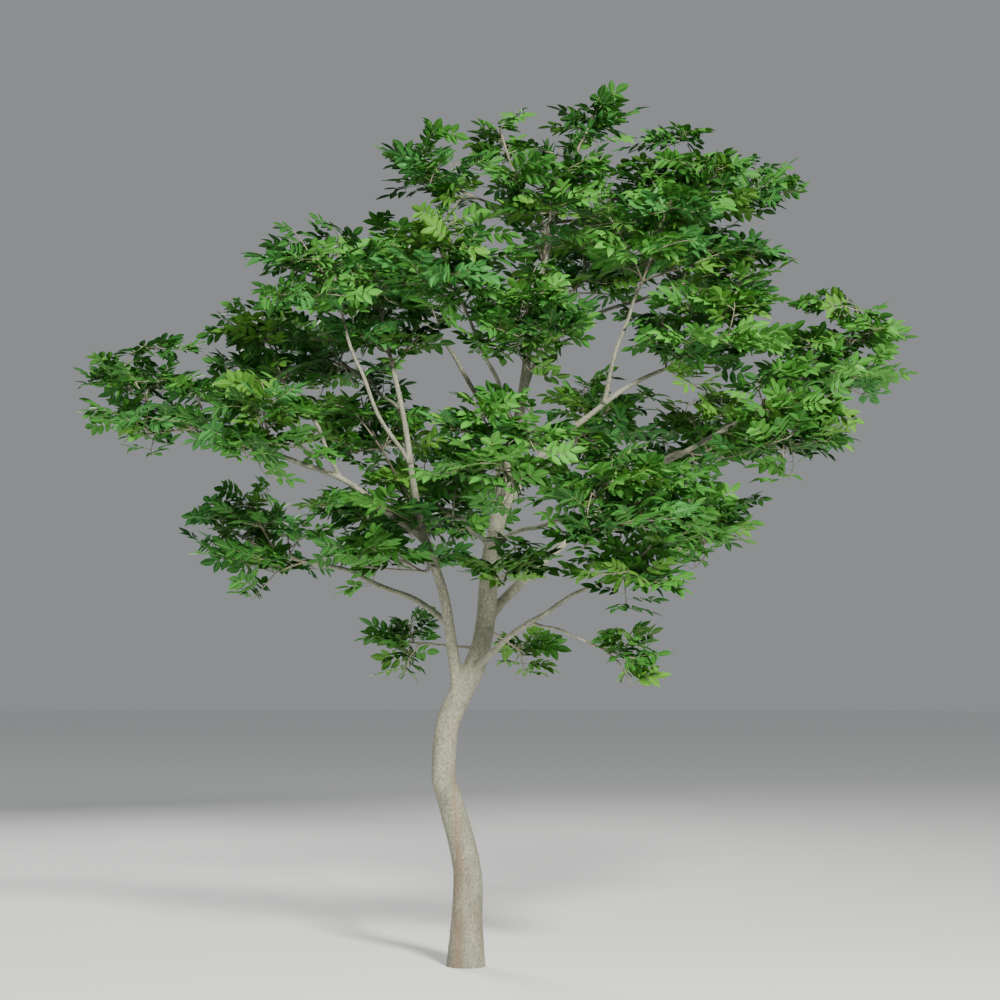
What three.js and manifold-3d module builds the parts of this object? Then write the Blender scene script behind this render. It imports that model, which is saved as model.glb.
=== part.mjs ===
// Gumbo limbo: a young tree 4.2 m tall. One crooked trunk forks low down and carries the crown on long rising
// boughs. Each bough ends in a mass of foliage: twigs that branch from one stem, with a leaf blade for each
// spray of leaflets.
// Millimetres, +Z up. The origin is the middle of the trunk's flat cut at ground level.
import * as THREE from "three";
import { mergeVertices } from "three/addons/utils/BufferGeometryUtils.js";
import Module from "manifold-3d";

const wasm = await Module();
wasm.setup();

// How the pieces meet
const JOINT_GAP = 0.3; // clear space between a limb and what grows on it
const CAP_SINK = 40; // how far below ground the trunk is made before the flat cut
const CLEARANCE = 3; // kept between a leaf or twig and a limb that isn't its own
const SAMPLE_SPACING = 10; // between the points where limbs are tested

// Boughs
const BOUGH_TAPER = 0.8; // under 1, a bough thins faster near its root
const BOUGH_SWAY = 0.012; // how far a bough weaves, as a share of its length
const SWAY_WAVES = { right: 9, up: 11 }; // radians of weaving along a bough

// Masses of foliage
const FLATNESS = 0.72; // height of a mass as a share of its width
const ENTRY_DEPTH = 0.8; // where a bough ends, as a share of the mass's reach from its middle
const STEM_OVERSHOOT = 0.45; // how far a stem runs on past the middle, as a share of its way there
const STEM_ROOT_RADIUS = 9;
const STEM_TIP_RADIUS = 6.5;
const TWIG_ROOT_RADIUS = 4.8;
const TWIG_TIP_RADIUS = 4.4;
const TWIG_SPACING = 105; // reach of a mass for each of its twigs
const TWIG_LAG = 0.4; // how far behind its tip a twig leaves the stem, as a share of the mass's reach
const FIRST_TWIG = 0.06; // the shares of the stem between which twigs leave it
const LAST_TWIG = 0.97;
const END_TWIG = 0.8; // from here on the stem carries leaves like a twig
const TWIG_INSET = { across: 0.62, up: 0.25 }; // from a twig's end to the mass's edge, in leaf lengths
const GOLDEN_ANGLE = Math.PI * (3 - Math.sqrt(5));
const SEED_STEP = 104729; // between one limb's seed and the next

// Leaf blades
const LEAF_LENGTH = 350;
const LEAF_WIDTH = 220;
const LEAF_THICKNESS = 11;
const LEAF_SINK = 2; // how far past the middle of its twig a leaf's root lies
const LEAF_PLACES = [
  { share: 1, turn: 0 }, // where along its twig, and radians turned to the side
  { share: 0.75, turn: 1.1 },
  { share: 0.6, turn: -1.1 },
];
const LEAF_TRIES = 10;
const SMALLEST_LEAF = 0.55; // the last try's length, as a share of the full length
const TWIG_LEVEL = 0.35; // how much of a twig's rise its leaves follow
const LEAF_TURN = 1.1; // radians between the leaves turned least and most to the side
const LEAF_DROOP = 0.12; // how much a leaf points down, as a share of its length
const LEAF_PITCH = 1.1; // spread of that droop from leaf to leaf
const LEAF_ROLL = 2.4; // radians between the two most tilted leaves
const CROSSING_VOLUME = 10; // cubic mm that a leaf may share with what has grown: its root, but no other leaf

// Faces
const TRUNK_SIDES = 12;
const BOUGH_SIDES = 6;
const STEM_SIDES = 4;
const TWIG_SIDES = 3;
const TRUNK_RINGS = 36;
const BOUGH_RING_SPACING = 190;
const FEWEST_BOUGH_RINGS = 3;
const STEM_RINGS = 4;

const BARK = new THREE.MeshStandardMaterial({ color: "#b3ae99", roughness: 0.85, metalness: 0 });
const FOLIAGE = new THREE.MeshStandardMaterial({ color: "#4f8a3c", roughness: 0.55, metalness: 0 });

// The trunk's bends: height, offset to the right and to the back, and radius.
const TRUNK = [
  { height: 0, right: 0, back: 0, radius: 95 },
  { height: 205, right: 5, back: 0, radius: 75 },
  { height: 460, right: 5, back: 0, radius: 67 },
  { height: 765, right: -70, back: 0, radius: 60 },
  { height: 880, right: -105, back: 0, radius: 57 },
  { height: 1045, right: -100, back: 0, radius: 56 },
  { height: 1180, right: -75, back: 0, radius: 57 },
  { height: 1405, right: 35, back: 10, radius: 55 },
  { height: 1575, right: 85, back: 20, radius: 48 },
  { height: 1780, right: 105, back: 30, radius: 46 },
  { height: 1950, right: 120, back: 40, radius: 46 },
  { height: 2075, right: 145, back: 40, radius: 41 },
  { height: 2255, right: 180, back: 45, radius: 32 },
  { height: 2570, right: 245, back: 50, radius: 27 },
  { height: 2820, right: 285, back: 50, radius: 24 },
  { height: 3030, right: 300, back: 50, radius: 15 },
  { height: 3370, right: 380, back: 80, radius: 12 },
  { height: 3720, right: 465, back: 120, radius: 10 },
  { height: 3880, right: 520, back: 150, radius: 8 },
];

// Each bough: what it forks from and at which height, how far its middle bows out of the straight line, its
// radii at the fork and where it enters its foliage, and the middle and reach of that foliage.
const BOUGHS = [
  ["left_leader", "trunk", 1290, [10, -70, -60], [34, 11], [-395, -150, 3060], 410],
  ["far_left", "left_leader", 2010, [0, -110, 70], [19, 8], [-1480, -120, 2670], 445],
  ["left_upper", "far_left", 2300, [0, 60, 40], [11, 7], [-950, 120, 2930], 410],
  ["upper_left", "left_leader", 2370, [-40, -60, 10], [11, 7], [-662, -400, 3210], 410],
  ["left_back", "left_leader", 2600, [0, 60, 20], [10, 7], [-700, 680, 3005], 440],
  ["low_left", "left_leader", 1620, [0, 70, 45], [17, 9], [-1040, 330, 2035], 440],
  ["left_low", "left_leader", 1850, [0, -40, 20], [11, 7], [-410, -60, 2055], 440],
  ["low_right", "trunk", 1390, [0, -110, 40], [18, 8], [760, -620, 1910], 365],
  ["low_spray", "low_right", 1620, [0, -20, 10], [8, 6], [728, -480, 1476], 240],
  ["far_right", "trunk", 1640, [-60, 180, 60], [27, 9], [1785, 220, 2918], 455],
  ["right_low", "far_right", 2150, [0, -60, -30], [12, 7], [1080, -40, 2100], 385],
  ["right_back", "far_right", 2400, [0, 90, 30], [12, 7], [1235, 850, 2552], 400],
  ["front_right", "trunk", 2000, [0, -60, 20], [15, 8], [687, -850, 2132], 470],
  ["right_inner", "trunk", 2080, [-80, -40, 60], [25, 9], [1140, -220, 3015], 455],
  ["right_upper", "right_inner", 2655, [-10, -20, 20], [12, 7], [890, -300, 3435], 420],
  ["centre_front", "trunk", 2230, [0, -50, 20], [12, 7], [165, -950, 2375], 420],
  ["centre_back", "trunk", 1950, [0, 60, 30], [15, 8], [-150, 1130, 2252], 460],
  ["back_upper", "trunk", 2115, [130, 60, 60], [19, 7], [-355, 560, 3390], 415],
  ["upper_front", "trunk", 2545, [0, -40, 0], [13, 7], [-80, -460, 3255], 420],
  ["upper_back", "trunk", 2700, [0, 60, 40], [12, 7], [600, 800, 3470], 450],
  ["right_top_back", "trunk", 2940, [0, 50, 20], [12, 7], [1245, 500, 3395], 420],
  ["top_left", "trunk", 3480, [0, 0, 20], [9, 6], [-150, 130, 3800], 360],
  ["top_right", "trunk", 3690, [0, 0, 20], [9, 6], [1022, 60, 3692], 460],
  ["far_top_right", "trunk", 3560, [0, 20, 0], [8, 6], [1410, 320, 3725], 335],
];

// Foliage so near to its limb that its own stem meets it: the limb, the height, and its middle and reach.
const NEAR_FOLIAGE = [
  ["left_middle", "far_left", 2425, [-917, -420, 2526], 400],
  ["left_centre", "left_leader", 2100, [-480, 250, 2590], 385],
  ["low_back_left", "trunk", 1500, [-325, 520, 1530], 285],
  ["low_back_right", "trunk", 1600, [275, 560, 1480], 230],
  ["low_front", "trunk", 1790, [225, -430, 1870], 285],
  ["right_middle", "far_right", 2640, [1495, -160, 2548], 440],
  ["right_centre", "right_inner", 2300, [656, 330, 2616], 380],
  ["upper_centre", "trunk", 2860, [285, -360, 3025], 410],
  ["upper_middle", "trunk", 3250, [415, -90, 3655], 415],
  ["top", "trunk", 3880, [615, 190, 4085], 270],
  ["top_back", "trunk", 3350, [175, 480, 4040], 250],
];

const { lerp, clamp } = THREE.MathUtils;
const vec = (x, y, z) => new THREE.Vector3(x, y, z);

// A multiplying generator: the same seed always grows the same limb.
function seeded(seed) {
  let state = seed;
  return () => {
    state = (state * 16807) % 2147483647;
    return state / 2147483647;
  };
}

// A path: at(t) gives a point and radius(t) the thickness, for t from 0 at the root to 1 at the tip. It runs
// straight from ring to ring of a smooth curve, just as the limb made along it does.
function ringed(curve, thickness, rings) {
  const points = [];
  const radii = [];
  for (let i = 0; i <= rings; i++) {
    points.push(curve(i / rings));
    radii.push(thickness(i / rings));
  }
  const between = (t) => {
    const below = Math.min(Math.floor(t * rings), rings - 1);
    return [below, t * rings - below];
  };
  return {
    rings,
    curve,
    at: (t) => {
      const [below, share] = between(t);
      return points[below].clone().lerp(points[below + 1], share);
    },
    radius: (t) => {
      const [below, share] = between(t);
      return lerp(radii[below], radii[below + 1], share);
    },
  };
}

function trunkPath() {
  const curve = new THREE.CatmullRomCurve3(
    TRUNK.map((bend) => vec(bend.right, bend.back, bend.height)),
    false,
    "catmullrom",
  );
  const radius = (t) => {
    const share = t * (TRUNK.length - 1);
    const below = Math.min(Math.floor(share), TRUNK.length - 2);
    return lerp(TRUNK[below].radius, TRUNK[below + 1].radius, share - below);
  };
  return ringed((t) => curve.getPoint(t), radius, TRUNK_RINGS);
}

function boughPath(root, entry, bow, [thick, thin], random) {
  const length = root.distanceTo(entry);
  const phase = { right: random() * 2 * Math.PI, up: random() * 2 * Math.PI };
  const at = (t) => {
    const point = root.clone().lerp(entry, t).addScaledVector(bow, 4 * t * (1 - t));
    const swing = BOUGH_SWAY * length * Math.sin(Math.PI * t);
    point.x += swing * Math.sin(SWAY_WAVES.right * t + phase.right);
    point.z += swing * Math.sin(SWAY_WAVES.up * t + phase.up);
    return point;
  };
  const rings = Math.max(FEWEST_BOUGH_RINGS, Math.round(length / BOUGH_RING_SPACING));
  return ringed(at, (t) => lerp(thick, thin, t ** BOUGH_TAPER), rings);
}

function stemPath(start, heading, end) {
  const curve = new THREE.QuadraticBezierCurve3(
    start,
    start.clone().addScaledVector(heading, start.distanceTo(end) / 2),
    end,
  );
  return ringed((t) => curve.getPoint(t), (t) => lerp(STEM_ROOT_RADIUS, STEM_TIP_RADIUS, t), STEM_RINGS);
}

function heading(path, t) {
  const step = 0.01;
  const before = path.curve(Math.max(t - step, 0));
  return path.curve(Math.min(t + step, 1)).sub(before).normalize();
}

// Where a rising path passes a height, found by halving.
function shareAtHeight(path, height) {
  let low = 0;
  let high = 1;
  for (let halving = 0; halving < 40; halving++) {
    const middle = (low + high) / 2;
    if (path.at(middle).z < height) low = middle;
    else high = middle;
  }
  return low;
}

// A cylinder with caps, its rings laid along a path. grow widens it all round, to cut clearances.
function limbGeometry(path, sides, grow = 0) {
  const geometry = new THREE.CylinderGeometry(1, 1, 1, sides, path.rings);
  const across = heading(path, 0.5);
  const reference = Math.abs(across.z) > 0.7 ? vec(1, 0, 0) : vec(0, 0, 1);
  const position = geometry.attributes.position;
  for (let i = 0; i < position.count; i++) {
    const t = clamp(position.getY(i) + 0.5, 0, 1);
    const along = heading(path, t);
    const side = reference.clone().cross(along).normalize();
    const up = along.clone().cross(side);
    const radius = path.radius(t) + grow;
    const point = path.at(t);
    point.addScaledVector(side, position.getX(i) * radius).addScaledVector(up, -position.getZ(i) * radius);
    position.setXYZ(i, point.x, point.y, point.z);
  }
  return geometry;
}

function solidFrom(geometry) {
  geometry.deleteAttribute("normal");
  geometry.deleteAttribute("uv");
  const merged = mergeVertices(geometry, 1e-3);
  return new wasm.Manifold(
    new wasm.Mesh({
      numProp: 3,
      vertProperties: merged.attributes.position.array,
      triVerts: new Uint32Array(merged.index.array),
    }),
  );
}

function geometryFrom(solid) {
  const mesh = solid.getMesh();
  const geometry = new THREE.BufferGeometry();
  geometry.setAttribute("position", new THREE.BufferAttribute(mesh.vertProperties, 3));
  geometry.setIndex(new THREE.BufferAttribute(mesh.triVerts, 1));
  return geometry;
}

const largest = (solid) => solid.decompose().reduce((a, b) => (b.volume() > a.volume() ? b : a));

// The spaces that the masses keep to: flattened balls, and where two meet, the plane that they share.
const flattened = (point) => vec(point.x, point.y, point.z / FLATNESS);

function roomLeft(mass, point) {
  const here = flattened(point);
  const power = (other) => here.distanceToSquared(flattened(other.centre)) - other.reach ** 2;
  const own = power(mass);
  let room = mass.reach - here.distanceTo(flattened(mass.centre));
  for (const other of masses) {
    if (other === mass) continue;
    const apart = flattened(other.centre).distanceTo(flattened(mass.centre));
    room = Math.min(room, (power(other) - own) / (2 * apart));
  }
  return room;
}

function sampled(path, owner) {
  const samples = [];
  const count = Math.ceil(path.at(0).distanceTo(path.at(1)) / SAMPLE_SPACING);
  for (let i = 0; i <= count; i++) {
    samples.push({ point: path.at(i / count), radius: path.radius(i / count) });
  }
  return { owner, samples };
}

// Whether a piece keeps clear of every limb and stem that isn't its mass's own. near tells if a limb's round
// section at a point touches the piece.
function clearOfLimbs(mass, middle, halfLength, near) {
  for (const limb of wood) {
    if (limb.owner === mass) continue;
    for (const { point, radius } of limb.samples) {
      const keep = radius + CLEARANCE;
      if (point.distanceTo(middle) < halfLength + keep && near(point, keep)) return false;
    }
  }
  return true;
}

function twigFits(mass, root, end) {
  if (roomLeft(mass, root) < TWIG_ROOT_RADIUS || roomLeft(mass, end) < TWIG_ROOT_RADIUS) return false;
  const line = new THREE.Line3(root, end);
  const nearest = vec();
  const near = (point, keep) =>
    line.closestPointToPoint(point, true, nearest).distanceTo(point) < keep + TWIG_ROOT_RADIUS;
  return clearOfLimbs(mass, line.getCenter(vec()), line.distance() / 2 + TWIG_ROOT_RADIUS, near);
}

// A leaf's frame: its length runs along Y from its root, its width along X, and Z is its upper face.
function leafFrame(root, along, tilt) {
  const side = along.clone().cross(vec(0, 0, 1)).normalize().applyAxisAngle(along, tilt);
  return new THREE.Matrix4().makeBasis(side, along, side.clone().cross(along)).setPosition(root);
}

// A leaf blade of 8 faces
function leafGeometry(frame, size) {
  return new THREE.OctahedronGeometry(size)
    .scale(LEAF_WIDTH / 2, LEAF_LENGTH / 2, LEAF_THICKNESS / 2)
    .translate(0, (size * LEAF_LENGTH) / 2 - LEAF_SINK, 0)
    .applyMatrix4(frame);
}

function leafFits(mass, frame, size, geometry) {
  const position = geometry.attributes.position;
  for (let i = 0; i < position.count; i++) {
    if (roomLeft(mass, vec().fromBufferAttribute(position, i)) < 1) return false;
  }
  const half = (size * LEAF_LENGTH) / 2;
  const toFrame = frame.clone().invert();
  const near = (point, keep) => {
    const here = point.clone().applyMatrix4(toFrame);
    const across = Math.abs(here.x) / ((size * LEAF_WIDTH) / 2 + keep);
    const along = Math.abs(here.y + LEAF_SINK - half) / (half + keep);
    return Math.abs(here.z) < keep + LEAF_THICKNESS / 2 && across + along < 1;
  };
  return clearOfLimbs(mass, vec(0, half, 0).applyMatrix4(frame), half, near);
}

// The leaves of one twig: one at its end and one on each side further back. Each is tried a few times,
// smaller and turned another way, until it fits and lies across no other. It is then fused to the mass.
function addLeaves(mass, solid, start, end, random) {
  const along = end.clone().sub(start).normalize();
  const level = vec(along.x, along.y, along.z * TWIG_LEVEL).normalize();
  let grown = solid;
  for (const { share, turn } of LEAF_PLACES) {
    const root = start.clone().lerp(end, share);
    for (let attempt = 0; attempt < LEAF_TRIES; attempt++) {
      const size = lerp(1, SMALLEST_LEAF, attempt / (LEAF_TRIES - 1));
      const way = level.clone().applyAxisAngle(vec(0, 0, 1), turn + (random() - 0.5) * LEAF_TURN);
      way.z += (random() - 0.5) * LEAF_PITCH - LEAF_DROOP;
      const frame = leafFrame(root, way.normalize(), (random() - 0.5) * LEAF_ROLL);
      const geometry = leafGeometry(frame, size);
      if (!leafFits(mass, frame, size, geometry)) continue;
      const leaf = solidFrom(geometry);
      if (grown.intersect(leaf).volume() > CROSSING_VOLUME) continue;
      grown = grown.add(leaf);
      break;
    }
  }
  return grown;
}

// Twigs leave the stem towards points spread evenly over the mass's space, and carry the leaves.
function growMass(mass, random) {
  const count = Math.round(mass.reach / TWIG_SPACING);
  const wide = mass.reach - LEAF_LENGTH * TWIG_INSET.across;
  const high = mass.reach * FLATNESS - LEAF_LENGTH * TWIG_INSET.up;
  const start = mass.stem.at(0);
  const tip = mass.stem.at(1);
  const run = tip.clone().sub(start);
  const phase = random() * 2 * Math.PI;
  let solid = solidFrom(limbGeometry(mass.stem, STEM_SIDES));
  const twigs = [[mass.stem.at(END_TWIG), tip]];
  for (let k = 0; k < count; k++) {
    const lift = 1 - (2 * (k + 0.5)) / count;
    const spread = Math.sqrt(1 - lift * lift);
    const angle = phase + k * GOLDEN_ANGLE;
    const offset = vec(wide * spread * Math.cos(angle), wide * spread * Math.sin(angle), high * lift);
    const end = mass.centre.clone().add(offset);
    const level = end.clone().sub(start).dot(run) / run.lengthSq();
    const share = level - (TWIG_LAG * mass.reach) / run.length();
    const root = mass.stem.at(clamp(share, mass.firstTwig, LAST_TWIG));
    if (!twigFits(mass, root, end)) continue;
    const thickness = (t) => lerp(TWIG_ROOT_RADIUS, TWIG_TIP_RADIUS, t);
    const twig = ringed((t) => root.clone().lerp(end, t), thickness, 1);
    solid = solid.add(solidFrom(limbGeometry(twig, TWIG_SIDES)));
    twigs.push([root, end]);
  }
  for (const [root, end] of twigs) solid = addLeaves(mass, solid, root, end, random);
  return solid;
}

// The trunk stands on a flat cut at ground level.
function trunkSolid(path, grow = 0) {
  const sunk = { ...path, at: (t) => path.at(t).setZ(path.at(t).z - (t === 0 ? CAP_SINK : 0)) };
  return solidFrom(limbGeometry(sunk, TRUNK_SIDES, grow)).trimByPlane([0, 0, 1], 0);
}

const tree = new THREE.Group();

function show(name, solid, material) {
  const mesh = new THREE.Mesh(geometryFrom(solid), material);
  mesh.name = name;
  tree.add(mesh);
}

// The paths of all the wood come first, because leaves have to keep clear of every limb.
const trunk = trunkPath();
const paths = { trunk };
const wood = [sampled(trunk, null)];
const masses = [];

// Where a limb to a mass starts on its parent, and where it enters the mass
function limbEnds(from, fork, centre, reach) {
  const root = paths[from].at(shareAtHeight(paths[from], fork));
  const outward = root.clone().sub(centre);
  const share = Math.min(1, (ENTRY_DEPTH * reach) / flattened(outward).length());
  return { root, entry: centre.clone().addScaledVector(outward, share) };
}

function addMass(mass, start, along, entry) {
  const far = mass.centre.clone().addScaledVector(mass.centre.clone().sub(entry), STEM_OVERSHOOT);
  mass.stem = stemPath(start, along, far);
  masses.push(mass);
  wood.push(sampled(mass.stem, mass));
}

BOUGHS.forEach(([name, from, fork, bow, radii, middle, reach], index) => {
  const random = seeded(SEED_STEP * (index + 1));
  const centre = vec(...middle);
  const { root, entry } = limbEnds(from, fork, centre, reach);
  const path = boughPath(root, entry, vec(...bow), radii, random);
  paths[name] = path;
  wood.push(sampled(path, null));
  const along = heading(path, 1);
  const start = path.at(1).addScaledVector(along, JOINT_GAP);
  addMass({ name, centre, reach, random, firstTwig: FIRST_TWIG }, start, along, entry);
});

NEAR_FOLIAGE.forEach(([name, from, fork, middle, reach], index) => {
  const random = seeded(SEED_STEP * (BOUGHS.length + index + 1));
  const centre = vec(...middle);
  const { root, entry } = limbEnds(from, fork, centre, reach);
  const firstTwig = Math.max(FIRST_TWIG, root.distanceTo(entry) / root.distanceTo(centre));
  const along = centre.clone().sub(root).normalize();
  addMass({ name, from, centre, reach, random, firstTwig }, root, along, entry);
});

// Each bough is cut clear of the limbs made before it.
show("trunk", trunkSolid(trunk), BARK);
const cutters = { trunk: trunkSolid(trunk, JOINT_GAP) };
for (const [name] of BOUGHS) {
  let solid = solidFrom(limbGeometry(paths[name], BOUGH_SIDES));
  for (const cutter of Object.values(cutters)) solid = solid.subtract(cutter);
  show(name + "_bough", largest(solid), BARK);
  cutters[name] = solidFrom(limbGeometry(paths[name], BOUGH_SIDES, JOINT_GAP));
}

// Each mass is one solid, cut clear of the limb that it grows from where it has no bough of its own.
for (const mass of masses) {
  let solid = growMass(mass, mass.random);
  if (mass.from) solid = solid.subtract(cutters[mass.from]);
  show(mass.name + "_foliage", largest(solid), FOLIAGE);
}

export default tree;
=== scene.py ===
import math

import bmesh
import bpy
import numpy as np
from bmesh.types import BMEdge, BMFace, BMVert
from mathutils import Matrix, Vector, noise
from numpy.linalg import norm


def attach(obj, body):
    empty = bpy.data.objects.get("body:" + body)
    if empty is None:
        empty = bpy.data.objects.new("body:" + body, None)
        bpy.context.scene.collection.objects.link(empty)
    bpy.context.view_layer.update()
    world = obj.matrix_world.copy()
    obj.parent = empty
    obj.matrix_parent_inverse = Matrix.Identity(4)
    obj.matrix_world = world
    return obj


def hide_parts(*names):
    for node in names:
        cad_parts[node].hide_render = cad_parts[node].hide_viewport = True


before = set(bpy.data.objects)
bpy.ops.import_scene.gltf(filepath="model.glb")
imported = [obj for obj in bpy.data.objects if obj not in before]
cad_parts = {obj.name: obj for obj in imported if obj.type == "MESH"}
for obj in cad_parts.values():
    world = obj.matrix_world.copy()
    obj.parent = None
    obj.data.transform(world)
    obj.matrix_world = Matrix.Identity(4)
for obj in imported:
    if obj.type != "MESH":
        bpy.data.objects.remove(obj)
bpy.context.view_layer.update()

MM = 0.001
TINY = 1e-6
GOLDEN_ANGLE = math.pi * (3 - math.sqrt(5))
RIGHT = np.array((1.0, 0.0, 0.0))
UP = np.array((0.0, 0.0, 1.0))

# The rule of growth, as in the part's source
BOUGH_TAPER = 0.8  # under 1, a bough thins faster near its root
BOUGH_SWAY = 0.012  # how far a bough weaves, as a share of its length
SWAY_RIGHT = 9  # radians of weaving along a bough, to the right and up
SWAY_UP = 11
FLATNESS = 0.72  # height of a mass as a share of its width
ENTRY_DEPTH = 0.8  # where a bough ends, as a share of the mass's reach from its middle
STEM_OVERSHOOT = 0.45  # how far a stem runs on past the middle, as a share of its way there
TWIG_SPACING = 105 * MM  # reach of a mass for each of its twigs
TWIG_LAG = 0.4  # how far behind its tip a twig leaves the stem, as a share of the mass's reach
FIRST_TWIG = 0.06  # the shares of the stem between which twigs leave it
LAST_TWIG = 0.97
BLADE_LENGTH = 350 * MM  # length of the solids' leaf blades
TWIG_INSET_ACROSS = 0.62  # from a twig's end to the mass's edge, in lengths of those blades
TWIG_INSET_UP = 0.25
SEED_STEP = 104729  # between one limb's seed and the next
SEED_FACTOR = 16807  # of the generator that multiplies its last number, and the prime that it divides by
SEED_PRIME = 2147483647
PATH_STRETCHES = 40  # in which a path's length is measured
HEADING_STEP = 0.01
HALVINGS = 40  # to find where a path passes a height

# The trunk's bends: height, offset to the right and to the back, and radius, in millimetres
TRUNK = [
    (0, 0, 0, 95),
    (205, 5, 0, 75),
    (460, 5, 0, 67),
    (765, -70, 0, 60),
    (880, -105, 0, 57),
    (1045, -100, 0, 56),
    (1180, -75, 0, 57),
    (1405, 35, 10, 55),
    (1575, 85, 20, 48),
    (1780, 105, 30, 46),
    (1950, 120, 40, 46),
    (2075, 145, 40, 41),
    (2255, 180, 45, 32),
    (2570, 245, 50, 27),
    (2820, 285, 50, 24),
    (3030, 300, 50, 15),
    (3370, 380, 80, 12),
    (3720, 465, 120, 10),
    (3880, 520, 150, 8),
]

# Each bough: its parent, the height of its fork, how far its middle bows out, its radii at the fork and at
# its foliage, and the middle and reach of that foliage, in millimetres
BOUGHS = [
    ("left_leader", "trunk", 1290, (10, -70, -60), (34, 11), (-395, -150, 3060), 410),
    ("far_left", "left_leader", 2010, (0, -110, 70), (19, 8), (-1480, -120, 2670), 445),
    ("left_upper", "far_left", 2300, (0, 60, 40), (11, 7), (-950, 120, 2930), 410),
    ("upper_left", "left_leader", 2370, (-40, -60, 10), (11, 7), (-662, -400, 3210), 410),
    ("left_back", "left_leader", 2600, (0, 60, 20), (10, 7), (-700, 680, 3005), 440),
    ("low_left", "left_leader", 1620, (0, 70, 45), (17, 9), (-1040, 330, 2035), 440),
    ("left_low", "left_leader", 1850, (0, -40, 20), (11, 7), (-410, -60, 2055), 440),
    ("low_right", "trunk", 1390, (0, -110, 40), (18, 8), (760, -620, 1910), 365),
    ("low_spray", "low_right", 1620, (0, -20, 10), (8, 6), (728, -480, 1476), 240),
    ("far_right", "trunk", 1640, (-60, 180, 60), (27, 9), (1785, 220, 2918), 455),
    ("right_low", "far_right", 2150, (0, -60, -30), (12, 7), (1080, -40, 2100), 385),
    ("right_back", "far_right", 2400, (0, 90, 30), (12, 7), (1235, 850, 2552), 400),
    ("front_right", "trunk", 2000, (0, -60, 20), (15, 8), (687, -850, 2132), 470),
    ("right_inner", "trunk", 2080, (-80, -40, 60), (25, 9), (1140, -220, 3015), 455),
    ("right_upper", "right_inner", 2655, (-10, -20, 20), (12, 7), (890, -300, 3435), 420),
    ("centre_front", "trunk", 2230, (0, -50, 20), (12, 7), (165, -950, 2375), 420),
    ("centre_back", "trunk", 1950, (0, 60, 30), (15, 8), (-150, 1130, 2252), 460),
    ("back_upper", "trunk", 2115, (130, 60, 60), (19, 7), (-355, 560, 3390), 415),
    ("upper_front", "trunk", 2545, (0, -40, 0), (13, 7), (-80, -460, 3255), 420),
    ("upper_back", "trunk", 2700, (0, 60, 40), (12, 7), (600, 800, 3470), 450),
    ("right_top_back", "trunk", 2940, (0, 50, 20), (12, 7), (1245, 500, 3395), 420),
    ("top_left", "trunk", 3480, (0, 0, 20), (9, 6), (-150, 130, 3800), 360),
    ("top_right", "trunk", 3690, (0, 0, 20), (9, 6), (1022, 60, 3692), 460),
    ("far_top_right", "trunk", 3560, (0, 20, 0), (8, 6), (1410, 320, 3725), 335),
]

# Foliage whose own stem meets its limb: the limb, the height, and its middle and reach, in millimetres
NEAR_FOLIAGE = [
    ("left_middle", "far_left", 2425, (-917, -420, 2526), 400),
    ("left_centre", "left_leader", 2100, (-480, 250, 2590), 385),
    ("low_back_left", "trunk", 1500, (-325, 520, 1530), 285),
    ("low_back_right", "trunk", 1600, (275, 560, 1480), 230),
    ("low_front", "trunk", 1790, (225, -430, 1870), 285),
    ("right_middle", "far_right", 2640, (1495, -160, 2548), 440),
    ("right_centre", "right_inner", 2300, (656, 330, 2616), 380),
    ("upper_centre", "trunk", 2860, (285, -360, 3025), 410),
    ("upper_middle", "trunk", 3250, (415, -90, 3655), 415),
    ("top", "trunk", 3880, (615, 190, 4085), 270),
    ("top_back", "trunk", 3350, (175, 480, 4040), 250),
]

# Wood: what the bark surface adds to the solids
GROUND_SINK = 40 * MM  # how far below ground the trunk is made before its flat cut
AT_GROUND = 1 * MM  # below this height the trunk's lower cap is found
VOXEL = 5 * MM  # size of the cells that melt the thick limbs into one surface
THICK_RADIUS = 12.5 * MM  # a limb joins that surface as long as it is thicker than this
THICKNESS_STEPS = 100  # along a limb, to find where that ends
THICK_SIDES = 28
FINE_SIDES = 14
THICK_RING_SPACING = 12 * MM
FINE_RING_SPACING = 14 * MM
FEWEST_RINGS = 3
RING_REFERENCE = (0.31, 0.95, 0.05)  # a direction that no limb sets out in
COLLAR_SWELL = 0.45  # how much thicker a limb is at its fork
COLLAR_REACH = 1.4  # how far along it that fades, in radii of its parent
WHOLE_SMOOTHING = 3  # rounds of smoothing all over the surface
FORK_SMOOTHING = 16  # rounds of smoothing where a limb leaves its parent
FORK_REACH = 1.9  # how far round the fork the last of those rounds reaches, in radii of the parent
FORK_FADE = 0.8  # how much further the first of those rounds reach than the last
FINE_OVERLAP = 70 * MM  # the stretch over which a thick limb and the fine one that goes on from it overlap
END_TUCK = 0.9  # how far each of the two draws in there, so that its end hides inside the other
LIMB_SAMPLE_SPACING = 15 * MM

# Relief of the bark: how many of each form lie side by side in a metre, and how far they stand out
SWELLINGS_PER_METRE = 7
SWELLING_HEIGHT = 2.2 * MM
LUMPS_PER_METRE = 26
LUMP_HEIGHT = 0.9 * MM
WRINKLES_AROUND = 18
WRINKLES_ALONG = 75
WRINKLE_HEIGHT = 0.45 * MM
WARTS_PER_METRE = 60
WART_HEIGHT = 1.6 * MM
WART_RARITY = 0.25  # the noise that has to be passed before a wart stands out
FULL_RELIEF_RADIUS = 50 * MM  # limbs thinner than this have less relief

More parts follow.
